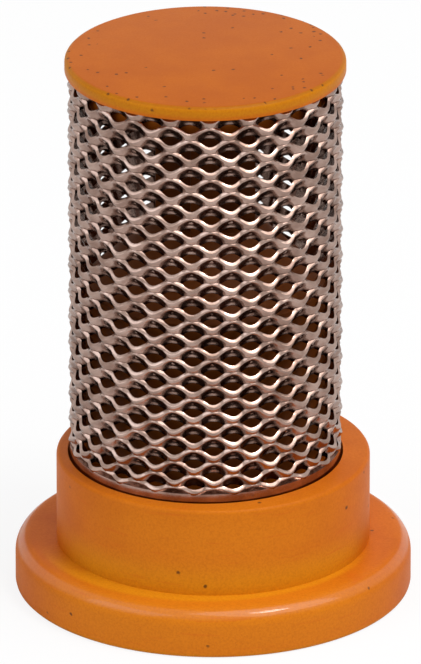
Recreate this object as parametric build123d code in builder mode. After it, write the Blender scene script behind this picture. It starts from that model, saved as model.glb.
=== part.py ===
# Spray nozzle filter: a moulded body with a flange, collar and hollow core,
# a tube of expanded metal set in the collar, and a moulded end cap.
# Millimetres, +Z up. The origin is the centre of the flange's underside.

import os
from math import cos, pi, radians, sin

from build123d import *

# Overall
total_height = 21.0

# Flange, the disc that the nozzle clamps
flange_diameter = 14.8
flange_thickness = 1.85
flange_top_radius = 0.65
flange_foot_chamfer = 0.15

# Collar above the flange, which holds the foot of the screen
collar_diameter = 11.7
collar_height = 3.4
collar_edge_chamfer = 0.12

# The screen, core and cap share one axis, a little to the side of the flange's
axis_shift = -0.29

# Hollow core inside the screen
core_gap = 0.22
core_straight_height = 6.85
core_shoulder_height = 2.5
core_top_diameter = 3.72
outlet_diameter = 6.8
outlet_chamfer = 0.25
throat_diameter = 3.0
throat_length = 1.1

# Cross-shaped ribs that rise from the core's throat and carry the cap
rib_span = 3.7
rib_thickness = 1.1

# Screen, a sheet that bends a little at each column of openings
screen_diameter = 10.24
screen_wall = 0.45
screen_seat_depth = 1.2
seat_clearance = 0.02

# Openings of the screen
openings_around = 21
opening_rows = 19
opening_width = 1.06
opening_height = 0.72
opening_slope = 20
opening_overrun = 0.25
screen_top_edge = 0.1
screen_foot_band = 0.35

# End cap
cap_diameter = 10.4
cap_thickness = 0.53
cap_top_chamfer = 0.15
spigot_depth = 0.8

# Worked out from the sizes above
collar_top = flange_thickness + collar_height
core_shoulder_foot = collar_top + core_straight_height
core_top = core_shoulder_foot + core_shoulder_height
screen_foot = collar_top - screen_seat_depth
screen_top = total_height - cap_thickness
screen_outer = screen_diameter / 2
screen_inner = screen_outer - screen_wall
screen_sides = 2 * openings_around
core_radius = screen_inner - core_gap
spigot_radius = screen_inner * cos(pi / screen_sides) - seat_clearance
rib_top = screen_top - spigot_depth
throat_foot = core_top - throat_length
core_axis = Axis((axis_shift, 0, 0), (0, 0, 1))
core_plan = Plane((axis_shift, 0, 0))
core_section = Plane((axis_shift, 0, 0), x_dir=(1, 0, 0), z_dir=(0, -1, 0))

# Body: flange and collar turned about the flange's axis, core and ribs about their own
with BuildPart() as body:
    with BuildSketch(Plane.XZ):
        with BuildLine():
            Polyline(
                (0, 0),
                (flange_diameter / 2, 0),
                (flange_diameter / 2, flange_thickness),
                (collar_diameter / 2, flange_thickness),
                (collar_diameter / 2, collar_top),
                (0, collar_top),
                close=True,
            )
        make_face()
    revolve(axis=Axis.Z)
    rims = body.edges().filter_by(GeomType.CIRCLE).sort_by(lambda edge: edge.radius)
    fillet(rims[-2:].sort_by(Axis.Z)[-1], flange_top_radius)
    chamfer(body.edges().filter_by(GeomType.CIRCLE).sort_by(Axis.Z)[0], flange_foot_chamfer)
    chamfer(body.edges().filter_by(GeomType.CIRCLE).sort_by(Axis.Z)[-1], collar_edge_chamfer)

    # Core outside, from the flange up to the mouth
    with BuildSketch(core_section):
        with BuildLine():
            Polyline(
                (0, flange_thickness),
                (core_radius, flange_thickness),
                (core_radius, core_shoulder_foot),
                (core_top_diameter / 2, core_top),
                (0, core_top),
                close=True,
            )
        make_face()
    revolve(axis=core_axis)

    # Outlet bore, narrowing to the throat under the shoulder
    narrowing = (outlet_diameter - throat_diameter) / 2
    with BuildSketch(core_section):
        with BuildLine():
            Polyline(
                (0, 0),
                (outlet_diameter / 2 + outlet_chamfer, 0),
                (outlet_diameter / 2, outlet_chamfer),
                (outlet_diameter / 2, throat_foot - narrowing),
                (throat_diameter / 2, throat_foot),
                (throat_diameter / 2, core_top),
                (0, core_top),
                close=True,
            )
        make_face()
    revolve(axis=core_axis, mode=Mode.SUBTRACT)

    # Groove that the foot of the screen stands in
    with BuildSketch(core_plan.offset(screen_foot)):
        Circle(screen_outer + seat_clearance)
        Circle(spigot_radius, mode=Mode.SUBTRACT)
    extrude(amount=screen_seat_depth, mode=Mode.SUBTRACT)

    # Ribs across the throat and up to the cap
    with BuildSketch(core_plan.offset(throat_foot)):
        Rectangle(rib_span, rib_thickness)
        Rectangle(rib_thickness, rib_span)
    extrude(amount=rib_top - throat_foot)

# Screen: a tube with sloping lens openings, each row half a step round from the last
first_row = collar_top + screen_foot_band + opening_height / 2
last_row = screen_top - screen_top_edge - opening_height / 2
row_step = (last_row - first_row) / (opening_rows - 1)
opening_step = 360 / openings_around
opening_places = [
    Location((axis_shift, 0, first_row + row * row_step), (0, 0, 1), (turn + row % 2 / 2) * opening_step)
    for row in range(opening_rows)
    for turn in range(openings_around)
]

with BuildPart() as opening:
    cut_start = screen_inner - opening_overrun
    cut_drop = (screen_wall / 2 + opening_overrun) * sin(radians(opening_slope))
    with BuildSketch(
        Plane(
            (cut_start, 0, -cut_drop),
            x_dir=(0, 1, 0),
            z_dir=(cos(radians(opening_slope)), 0, sin(radians(opening_slope))),
        )
    ):
        with BuildLine():
            Polyline(
                (-opening_width / 2, 0),
                (0, -opening_height / 2),
                (opening_width / 2, 0),
                (0, opening_height / 2),
                close=True,
            )
        make_face()
    extrude(amount=(screen_wall + 2 * opening_overrun) / cos(radians(opening_slope)))

with BuildPart() as screen:
    with BuildSketch(core_plan.offset(screen_foot)):
        RegularPolygon(screen_outer, screen_sides)
        RegularPolygon(screen_inner, screen_sides, mode=Mode.SUBTRACT)
    extrude(amount=screen_top - screen_foot)
    with Locations(*opening_places):
        add(opening.part, mode=Mode.SUBTRACT)

# End cap: a thin disc with a broken top edge and a spigot inside the screen
with BuildPart() as end_cap:
    with BuildSketch(core_plan.offset(screen_top)):
        Circle(cap_diameter / 2)
    extrude(amount=cap_thickness)
    chamfer(end_cap.edges().sort_by(Axis.Z)[-1], cap_top_chamfer)
    with BuildSketch(core_plan.offset(rib_top)):
        Circle(spigot_radius)
    extrude(amount=spigot_depth)

body.part.label = "body"
screen.part.label = "screen"
end_cap.part.label = "end_cap"

os.makedirs("parts", exist_ok=True)
export_step(body.part, "parts/body.step")
export_step(screen.part, "parts/screen.step")
export_step(end_cap.part, "parts/end_cap.step")
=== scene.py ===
import random
from math import atan2, cos, hypot, pi, radians, sin, tau

import bmesh
import bpy
from mathutils import Matrix, Vector


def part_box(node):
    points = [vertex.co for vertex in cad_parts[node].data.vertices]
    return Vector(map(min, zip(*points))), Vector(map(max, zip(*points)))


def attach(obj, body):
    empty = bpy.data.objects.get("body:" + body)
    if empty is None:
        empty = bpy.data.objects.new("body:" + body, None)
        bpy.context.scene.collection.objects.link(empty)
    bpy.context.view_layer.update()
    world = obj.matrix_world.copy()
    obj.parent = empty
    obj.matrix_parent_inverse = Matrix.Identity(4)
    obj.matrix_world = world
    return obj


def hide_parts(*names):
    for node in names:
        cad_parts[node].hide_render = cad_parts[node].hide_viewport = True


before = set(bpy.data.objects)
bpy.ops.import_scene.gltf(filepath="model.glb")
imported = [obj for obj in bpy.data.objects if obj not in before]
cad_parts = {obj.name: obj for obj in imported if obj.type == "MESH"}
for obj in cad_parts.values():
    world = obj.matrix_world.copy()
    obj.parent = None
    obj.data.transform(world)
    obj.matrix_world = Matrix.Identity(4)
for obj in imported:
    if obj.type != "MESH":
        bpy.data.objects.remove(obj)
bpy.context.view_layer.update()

mm = 0.001  # sizes are easier to read in millimetres

bodyLow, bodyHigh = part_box("body")
capLow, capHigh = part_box("end_cap")
screenLow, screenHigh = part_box("screen")
coreX = (capLow.x + capHigh.x) / 2  # screen, core and cap share an axis beside the flange's
capRadius = (capHigh.x - capLow.x) / 2
screenRadius = (screenHigh.x - screenLow.x) / 2
screenTop = screenHigh.z
screenFoot = screenLow.z


class Wire:  # a node's output that can be added, multiplied and so on
    def __init__(self, shader, socket):
        self.shader = shader
        self.socket = socket

    def maths(self, operation, *values):
        return self.shader.add("ShaderNodeMath", {"operation": operation}, dict(enumerate(values)))

    def __add__(self, other):
        return self.maths("ADD", self, other)

    def __radd__(self, other):
        return self.maths("ADD", other, self)

    def __sub__(self, other):
        return self.maths("SUBTRACT", self, other)

    def __rsub__(self, other):
        return self.maths("SUBTRACT", other, self)

    def __mul__(self, other):
        return self.maths("MULTIPLY", self, other)

    def __rmul__(self, other):
        return self.maths("MULTIPLY", other, self)

    def __lt__(self, other):
        return self.maths("LESS_THAN", self, other)

    def root(self):
        return self.maths("SQRT", self)

    def ramp(self, start, end):  # 0 at start, 1 at end, smooth between
        return self.shader.add(
            "ShaderNodeMapRange", {"interpolation_type": "SMOOTHSTEP"},
            {"Value": self, "From Min": start, "From Max": end},
        )


class Shader:  # builds the nodes of one material or world
    def __init__(self, owner):
        owner.use_nodes = True
        self.owner = owner
        self.tree = owner.node_tree
        self.tree.nodes.clear()

    def add(self, kind, settings, sockets, output=0):
        node = self.tree.nodes.new(kind)
        for key, value in settings.items():
            setattr(node, key, value)
        for key, value in sockets.items():
            if isinstance(value, Wire):
                self.tree.links.new(value.socket, node.inputs[key])
            else:
                node.inputs[key].default_value = value
        return Wire(self, node.outputs[output]) if node.outputs else None

    def place(self):  # the point on the object, in millimetres from the core's axis
        point = self.add("ShaderNodeTexCoord", {}, {}, "Object")
        point = self.add("ShaderNodeVectorMath", {"operation": "SUBTRACT"}, {0: point, 1: (coreX, 0, 0)})
        return self.add("ShaderNodeVectorMath", {"operation": "SCALE"}, {0: point, "Scale": 1 / mm})

    def stretched(self, point, factors):
        return self.add("ShaderNodeVectorMath", {"operation": "MULTIPLY"}, {0: point, 1: factors})

    def axes(self, vector):
        return [self.add("ShaderNodeSeparateXYZ", {}, {0: vector}, axis) for axis in "XYZ"]

    def noise(self, point, scale, detail=2, rough=0.5):
        sockets = {"Vector": point, "Scale": scale, "Detail": detail, "Roughness": rough}
        return self.add("ShaderNodeTexNoise", {}, sockets)

    def specks(self, point, flat, scale, size, share):  # a dot in that share of the cells
        kind = {"voronoi_dimensions": "2D" if flat else "3D"}
        cell = {"Vector": point, "Scale": scale}
        dot = self.add("ShaderNodeTexVoronoi", kind, cell, "Distance").ramp(size, size * 0.4)
        chance = self.axes(self.add("ShaderNodeTexVoronoi", kind, cell, "Color"))[0]
        return dot * (chance < share)

    def mix(self, factor, first, second):
        return self.add("ShaderNodeMix", {"data_type": "RGBA"}, {0: factor, 6: first, 7: second}, 2)

    def bump(self, height, distance, strength):
        sockets = {"Height": height, "Distance": distance, "Strength": strength}
        return self.add("ShaderNodeBump", {}, sockets)


def colour(red, green, blue):  # 0 to 255 as in a picture, turned to linear light
    def linear(value):
        value /= 255
        return value / 12.92 if value <= 0.04045 else ((value + 0.055) / 1.055) ** 2.4

    return (linear(red), linear(green), linear(blue), 1)


def newObject(name, mesh, material):
    data = bpy.data.meshes.new(name)
    mesh.to_mesh(data)
    mesh.free()
    data.materials.append(material)
    thing = bpy.data.objects.new(name, data)
    bpy.context.scene.collection.objects.link(thing)
    return thing


def newPiece(name, mesh, material, node, sharp):
    for face in mesh.faces:
        face.smooth = True
    bmesh.ops.recalc_face_normals(mesh, faces=mesh.faces)
    piece = newObject(name, mesh, material)
    piece.data.set_sharp_from_angle(angle=sharp)
    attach(piece, "root")
    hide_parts(node)


def spun(mesh, geometry, steps, centre=0.0):  # a full turn round Z
    bmesh.ops.spin(
        mesh, geom=geometry, cent=(centre, 0, 0), axis=(0, 0, 1), dvec=(0, 0, 0),
        angle=tau, steps=steps, use_merge=True, use_duplicate=False,
    )


def turned(mesh, outline, steps, centre=0.0):  # spins a closed outline of radius and height
    corners = [mesh.verts.new((centre + radius, 0, height)) for radius, height in outline]
    edges = [mesh.edges.new(pair) for pair in zip(corners, corners[1:] + corners[:1])]
    spun(mesh, corners + edges, steps, centre)


def onRing(vert, radius, height, centre=0.0):
    near = 0.002 * mm
    out = hypot(vert.co.x - centre, vert.co.y)
    return abs(out - radius) < near and abs(vert.co.z - height) < near


def rounded(mesh, edges, size, segments):
    bmesh.ops.bevel(
        mesh, geom=edges, offset=size, offset_type="OFFSET", segments=segments,
        profile=0.5, affect="EDGES", material=-1, clamp_overlap=True,
    )


def roundedRing(mesh, radius, height, size, segments, centre=0.0):
    ring = [e for e in mesh.edges if all(onRing(v, radius, height, centre) for v in e.verts)]
    rounded(mesh, ring, size, segments)


# Orange plastic of the body and the end cap

plasticLook = {
    "light": colour(208, 108, 8),
    "dark": colour(198, 99, 6),
    "grain": colour(172, 74, 6),
    "grainShare": 0.34,
    "paintedBounce": colour(220, 128, 22),
    "paintedBounceShare": 0.8,
    "paintedCreaseBounce": colour(226, 150, 20),
    "paintedCreaseBounceShare": 0.75,
    "edgeHighlight": colour(196, 132, 6),
    "edgeHighlightShare": 0.6,
    "topShade": 0.28,
    "inside": colour(108, 56, 20),
    "insideShare": 0.9,
    "speck": colour(60, 32, 20),
    "speckShare": 0.8,
    "streak": colour(206, 84, 20),
    "streakShare": 0.25,
    "polish": 0.6,  # gloss of the flange's rounded edge
    "bump": 0.008 * mm,
}


def orangePlastic(name, look):
    shader = Shader(bpy.data.materials.new(name))
    point = shader.place()
    x, y, z = shader.axes(point)
    out = (x * x + y * y).root()

    cloud = shader.noise(point, 0.5, 3, 0.6)
    grain = shader.noise(point, 11.0, 4, 0.7)
    base = shader.mix(cloud.ramp(0.3, 0.7), look["dark"], look["light"])

    # painted reflection: the front of the flange and collar is painted a yellower orange than the sides, as
    # light bounced from the flange top, most so where collar meets flange
    front = y.ramp(-2.0, -6.5) * z.ramp(7.0, 4.0)
    base = shader.mix(front * look["paintedBounceShare"], base, look["paintedBounce"])
    # painted reflection: the front corner between collar and flange is painted a light yellow orange in place
    # of its shade
    paintedCreaseBounce = z.ramp(1.6, 1.9) * z.ramp(3.4, 2.1) * out.ramp(6.5, 6.2) * y.ramp(-1.0, -4.0)
    base = shader.mix(paintedCreaseBounce * look["paintedCreaseBounceShare"], base, look["paintedCreaseBounce"])

    # painted highlight: a paler line along the outer edges of the cap and the foot of the flange, where the
    # edges catch light
    edgeHighlight = out.ramp(5.02, 5.12) * z.ramp(20.5, 20.7) + out.ramp(7.0, 7.2) * z.ramp(0.2, 0.05)
    base = shader.mix(edgeHighlight * look["edgeHighlightShare"], base, look["edgeHighlight"])
    # painted shade: the top face of the cap is painted darker than its sides
    onTop = z.ramp(20.9, 20.96)
    base = shader.mix(onTop * look["topShade"], base, look["inside"])

    # fine grain, faint drag lines round the part and dark specks
    base = shader.mix(grain.ramp(0.35, 0.75) * look["grainShare"], base, look["grain"])
    drag = shader.noise(shader.stretched(point, (0.5, 0.5, 9.0)), 1.0).ramp(0.6, 0.75)
    base = shader.mix(drag * look["streakShare"] * z.ramp(20.8, 20.6), base, look["streak"])
    wander = shader.add("ShaderNodeTexNoise", {}, {"Vector": point, "Scale": 6.0}, "Color")
    wander = shader.add(
        "ShaderNodeVectorMath", {"operation": "MULTIPLY_ADD"},
        {0: wander, 1: (0.12, 0.12, 0.12), 2: point},
    )
    patchy = shader.noise(point, 0.7).ramp(0.4, 0.6)
    dirt = shader.specks(wander, True, 2.8, 0.24, 0.03 + 0.5 * patchy * out.ramp(4.0, 4.7)) * onTop
    dirt = dirt + shader.specks(wander, False, 1.0, 0.1, 0.3) * (1 - onTop)
    base = shader.mix(dirt * look["speckShare"], base, look["speck"])

    # painted shade: the core and ribs behind the screen are painted a darker brown, standing in for the shade
    # the screen casts on them
    behind = out.ramp(4.68, 4.6) * z.ramp(5.3, 5.9) * z.ramp(20.5, 20.3)
    base = shader.mix(behind * look["insideShare"], base, look["inside"])

    surface = shader.add("ShaderNodeBsdfPrincipled", {}, {
        "Base Color": base,
        "Roughness": 0.4 + 0.16 * grain,
        "Normal": shader.bump(grain, look["bump"], 0.4),
        "Specular IOR Level": 0.1,
        "Coat Weight": look["polish"] * z.ramp(1.45, 1.62) * z.ramp(1.8, 1.74),
        "Coat Roughness": 0.08,
    })
    shader.add("ShaderNodeOutputMaterial", {}, {"Surface": surface})
    return shader.owner


plastic = orangePlastic("mouldedOrange", plasticLook)

# Bare steel of the screen

steelLook = {
    "light": colour(178, 152, 140),
    "dark": colour(138, 112, 100),
    "bump": 0.006 * mm,
}


def bareSteel(name, look):
    shader = Shader(bpy.data.materials.new(name))
    point = shader.place()
    cloud = shader.noise(point, 1.1, 3, 0.6)
    rolled = shader.noise(shader.stretched(point, (3.0, 3.0, 12.0)), 1.5, 3, 0.6)
    surface = shader.add("ShaderNodeBsdfPrincipled", {}, {
        "Base Color": shader.mix(cloud.ramp(0.3, 0.7), look["dark"], look["light"]),
        "Metallic": 1.0,
        "Roughness": 0.12 + 0.12 * rolled,
        "Normal": shader.bump(rolled, look["bump"], 0.4),
    })
    shader.add("ShaderNodeOutputMaterial", {}, {"Surface": surface})
    return shader.owner


steel = bareSteel("bareSteel", steelLook)
print("materials made")

# Body: flange, collar, hollow core and ribs in one moulding

body = {
    "steps": 168,
    "flangeThickness": 1.85 * mm,
    "flangeTopRadius": 0.65 * mm,
    "flangeFootRadius": 0.15 * mm,
    "collarRadius": 5.85 * mm,
    "collarTop": 5.25 * mm,
    "collarEdge": 0.16 * mm,
    "coreRadius": 4.45 * mm,
    "shoulderFoot": 12.1 * mm,
    "coreTop": 14.6 * mm,
    "coreTopRadius": 1.86 * mm,
    "boreRadius": 3.4 * mm,
    "boreChamfer": 0.25 * mm,
    "throatRadius": 1.5 * mm,
    "throatFoot": 13.5 * mm,
    "grooveInner": 4.637 * mm,
    "grooveClearance": 0.02 * mm,
    "ribSpan": 3.7 * mm,
    "ribThickness": 1.1 * mm,
    "ribEdge": 0.06 * mm,
}


def makeBody(s):
    mesh = bmesh.new()
    flangeRadius = bodyHigh.x
    grooveOuter = screenRadius + s["grooveClearance"]
    onCoreAxis = [  # radius and height, from the groove's outer wall round to the underside
        (grooveOuter, s["collarTop"]),
        (grooveOuter, screenFoot),
        (s["grooveInner"], screenFoot),
        (s["grooveInner"], s["collarTop"]),
        (s["coreRadius"], s["collarTop"]),
        (s["coreRadius"], s["shoulderFoot"]),
        (s["coreTopRadius"], s["coreTop"]),
        (s["throatRadius"], s["coreTop"]),
        (s["throatRadius"], s["throatFoot"]),
        (s["boreRadius"], s["throatFoot"] - s["boreRadius"] + s["throatRadius"]),
        (s["boreRadius"], s["boreChamfer"]),
        (s["boreRadius"] + s["boreChamfer"], 0),
    ]
    onFlangeAxis = [  # from the underside up to the collar's top edge
        (flangeRadius, 0),
        (flangeRadius, s["flangeThickness"]),
        (s["collarRadius"], s["flangeThickness"]),
        (s["collarRadius"], s["collarTop"]),
    ]
    turned(mesh, onCoreAxis + onFlangeAxis, s["steps"])
    core = [v for v in mesh.verts if any(onRing(v, *place) for place in onCoreAxis)]
    bmesh.ops.translate(mesh, verts=core, vec=(coreX, 0, 0))
    roundedRing(mesh, flangeRadius, s["flangeThickness"], s["flangeTopRadius"], 8)
    roundedRing(mesh, flangeRadius, 0, s["flangeFootRadius"], 3)
    roundedRing(mesh, s["collarRadius"], s["collarTop"], s["collarEdge"], 4)

    foot, top = s["throatFoot"], capLow.z
    for turn in (0, pi / 2):  # one arm of the ribs along X and one along Y
        arm = bmesh.ops.create_cube(mesh, size=1)["verts"]
        bmesh.ops.scale(mesh, verts=arm, vec=(s["ribSpan"], s["ribThickness"], top - foot))
        bmesh.ops.rotate(mesh, verts=arm, matrix=Matrix.Rotation(turn, 3, "Z"))
        bmesh.ops.translate(mesh, verts=arm, vec=(coreX, 0, (top + foot) / 2))
        edges = {edge for vert in arm for edge in vert.link_edges}
        upright = [e for e in edges if abs(e.verts[0].co.z - e.verts[1].co.z) > 1 * mm]
        rounded(mesh, upright, s["ribEdge"], 2)
    newPiece("bodyMoulding", mesh, plastic, "body", radians(40))


makeBody(body)
print("body made")

# End cap: a thin disc with a spigot under it

cap = {
    "steps": 168,
    "topEdge": 0.2 * mm,
    "underEdge": 0.05 * mm,
    "spigotRadius": 4.637 * mm,
}


def makeCap(s):
    mesh = bmesh.new()
    thickness = capHigh.z - screenTop
    bmesh.ops.create_cone(
        mesh, cap_ends=True, segments=s["steps"], radius1=capRadius, radius2=capRadius,
        depth=thickness, matrix=Matrix.Translation((coreX, 0, screenTop + thickness / 2)),
    )
    under = [face for face in mesh.faces if face.normal.z < -0.9]
    bmesh.ops.inset_region(mesh, faces=under, thickness=capRadius - s["spigotRadius"], use_even_offset=True)
    spigot = bmesh.ops.extrude_face_region(mesh, geom=under)["geom"]
    bmesh.ops.delete(mesh, geom=under, context="FACES_ONLY")
    tip = [part for part in spigot if isinstance(part, bmesh.types.BMVert)]
    bmesh.ops.translate(mesh, verts=tip, vec=(0, 0, capLow.z - screenTop))
    roundedRing(mesh, capRadius, capHigh.z, s["topEdge"], 5, coreX)
    roundedRing(mesh, capRadius, screenTop, s["underEdge"], 2, coreX)
    newPiece("capMoulding", mesh, plastic, "end_cap", radians(40))


makeCap(cap)
print("end cap made")

# Screen: raised expanded metal, built as one wavy strand above the other

screen = {
    "cells": 21,
    "stepsPerCell": 12,
    "pitch": 1.0235 * mm,  # between the openings of one column
    "firstHeight": 20.46 * mm,
    "lastHeight": 5.72 * mm,
    "wave": 0.158 * mm,
    "lastWave": 0.08 * mm,
    "lift": 0.22 * mm,  # how far a strand goes in as it climbs from the foot of its wave
    "bulge": 0.16 * mm,  # and comes out again at the top of it
    "width": 0.49 * mm,
    "thickness": 0.15 * mm,
    "lean": radians(27),
    "topTilt": radians(41),
    "corner": 0.03 * mm,
    "dent": 0.08 * mm,  # how far the face is pressed in under the top of a wave
    "dentPlace": 0.62,
    "dentFoot": 0.55,
    "columnAngle": radians(-90 + 1.9),  # a column of openings, at the first height
    "twist": radians(-0.13) / mm,  # the columns drift round a little with the height
    "unevenness": 0.008 * mm,
    "marginTop": 5.58 * mm,
    "marginInset": 0.06 * mm,
}


def straightStrand(mesh, s):
    # a leaning flat bar with its outer top corner rounded, spun round Z at height 0
    down = Vector((-sin(s["lean"]), 0, -cos(s["lean"]))) * s["width"]
    back = Vector((-cos(s["topTilt"]), 0, sin(s["topTilt"]))) * s["thickness"]
    edge = Vector((screenRadius, 0, 0))
    corners = [mesh.verts.new(place) for place in (edge, edge + down, edge + down + back, edge + back)]
    mesh.faces.new(corners)
    bmesh.ops.bevel(
        mesh, geom=corners[:1], offset=s["corner"], offset_type="OFFSET", segments=2,
        profile=0.5, affect="VERTICES", material=-1,
    )
    middle = edge + down / 2
    front = min(mesh.edges, key=lambda part: (sum((v.co for v in part.verts), Vector()) / 2 - middle).length)
    bmesh.ops.subdivide_edges(mesh, edges=[front], cuts=5)
    bmesh.ops.delete(mesh, geom=mesh.faces[:], context="FACES_ONLY")
    spun(mesh, mesh.verts[:] + mesh.edges[:], s["cells"] * s["stepsPerCell"])
    return mesh.verts[:] + mesh.edges[:] + mesh.faces[:]


def smooth(value, start, end):  # 0 at start, 1 at end
    value = min(max((value - start) / (end - start), 0), 1)
    return value * value * (3 - 2 * value)


def wave(verts, s, number, height, size):  # bends a straight strand and puts it at its height
    column = s["columnAngle"] + s["twist"] * (height - s["firstHeight"])
    place, foot = s["dentPlace"], s["dentFoot"]
    for vert in verts:
        x, y, z = vert.co
        swing = cos(s["cells"] * (atan2(y, x) - column) + (number + 1) % 2 * pi)
        below = min(max(-z / (s["width"] * cos(s["lean"])), 0), 1)
        dent = s["dent"] * min(below / place, 1 - (1 - foot) * (below - place) / (1 - place))
        inward = s["lift"] * (1 + swing) / 2 - s["bulge"] * smooth(swing, 0.1, 1)
        inward = (inward + dent * smooth(swing, 0.15, 0.8)) / screenRadius
        z = min(z + height + swing * size, screenTop)
        vert.co = (x * (1 - inward) + coreX, y * (1 - inward), z)


def makeScreen(s):
    mesh = bmesh.new()
    straight = straightStrand(mesh, s)
    chance = random.Random(4)
    last = round((s["firstHeight"] - s["lastHeight"]) / (s["pitch"] / 2))
    for number in range(last + 1):
        copy = bmesh.ops.duplicate(mesh, geom=straight)["geom"]
        verts = [part for part in copy if isinstance(part, bmesh.types.BMVert)]
        height = s["firstHeight"] - number * s["pitch"] / 2 + chance.uniform(-1, 1) * s["unevenness"]
        size = s["wave"] + chance.uniform(-1, 1) * s["unevenness"]
        if number == last:
            height, size = s["lastHeight"], s["lastWave"]
        wave(verts, s, number, height, size)
    old = [part for part in straight if isinstance(part, bmesh.types.BMVert)]
    bmesh.ops.delete(mesh, geom=old, context="VERTS")

    # the plain margin under the last strand, which stands in the collar's groove
    outer = screenRadius - s["marginInset"]
    inner = outer - s["thickness"]
    outline = [(inner, screenFoot), (outer, screenFoot), (outer, s["marginTop"]), (inner, s["marginTop"])]
    turned(mesh, outline, s["cells"] * 8, coreX)
    newPiece("screenStrands", mesh, steel, "screen", radians(60))


makeScreen(screen)
print("screen made")

# Floor, lights and camera

studio = {
    "floorSize": 4.0,
    "floorColour": (0.92, 0.92, 0.92, 1),
    "floorGlow": 0.85,
    "ambient": 0.38,
    "lampDistance": 0.4,
    # side is in degrees to the right of the camera, height above the floor
    "key": {"side": 60, "height": 65, "size": (0.36, 0.36), "power": 0.9, "colour": (1, 1, 1)},
    "spark": {"side": 56, "height": 64, "size": (0.09, 0.07), "power": 0.4, "colour": (1, 0.98, 0.96)},
    "fill": {"side": -60, "height": 35, "size": (0.3, 0.3), "power": 0.4, "colour": (0.8, 0.9, 1)},
}

view = {
    "distance": 0.4751,
    "height": 22.73,
    "aim": Vector((-0.0001, 0, 0.009977)),
    "lens": 693.0,
}


def aimed(name, data, side, height, distance):
    side, height = radians(side), radians(height)
    away = Vector((sin(side) * cos(height), -cos(side) * cos(height), sin(height)))
    thing = bpy.data.objects.new(name, data)
    thing.location = view["aim"] + away * distance
    thing.rotation_euler = away.to_track_quat("Z", "Y").to_euler()
    bpy.context.scene.collection.objects.link(thing)
    return thing


def makeLamp(name, s):
    data = bpy.data.lights.new(name, "AREA")
    data.shape = "RECTANGLE"
    data.size, data.size_y = s["size"]
    data.energy = s["power"]
    data.color = s["colour"]
    aimed(name, data, s["side"], s["height"], studio["lampDistance"])


def makeFloor(s):
    shader = Shader(bpy.data.materials.new("paleFloor"))
    seen = shader.add("ShaderNodeLightPath", {}, {}, "Is Camera Ray")
    cloth = shader.add("ShaderNodeBsdfDiffuse", {}, {"Color": s["floorColour"]})
    glow = shader.add("ShaderNodeEmission", {}, {"Strength": 1.0})
    surface = shader.add("ShaderNodeMixShader", {}, {0: seen * s["floorGlow"], 1: cloth, 2: glow})
    shader.add("ShaderNodeOutputMaterial", {}, {"Surface": surface})
    mesh = bmesh.new()
    bmesh.ops.create_grid(mesh, x_segments=1, y_segments=1, size=s["floorSize"] / 2)
    bmesh.ops.translate(mesh, verts=mesh.verts, vec=(0, 0, -0.002 * mm))
    newObject("floor", mesh, shader.owner)


def makeWorld(s):  # white where it is seen, mirrored or looked through, plainer as light
    shader = Shader(bpy.data.worlds.new("studio"))
    rays = [shader.add("ShaderNodeLightPath", {}, {}, "Is " + kind + " Ray")
            for kind in ("Camera", "Glossy", "Transmission")]
    power = shader.add("ShaderNodeMapRange", {}, {"Value": rays[0] + rays[1] + rays[2], "To Min": s["ambient"]})
    sky = shader.add("ShaderNodeBackground", {}, {"Color": (1, 1, 1, 1), "Strength": power})
    shader.add("ShaderNodeOutputWorld", {}, {"Surface": sky})
    bpy.context.scene.world = shader.owner


makeFloor(studio)
makeWorld(studio)
for name in ("key", "spark", "fill"):
    makeLamp(name, studio[name])

lens = bpy.data.cameras.new("camera")
lens.lens = view["lens"]
lens.sensor_width = 36
lens.clip_start = 0.01
bpy.context.scene.camera = aimed("camera", lens, 0, view["height"], view["distance"])
bpy.context.scene.view_settings.view_transform = "Standard"
print("studio made")
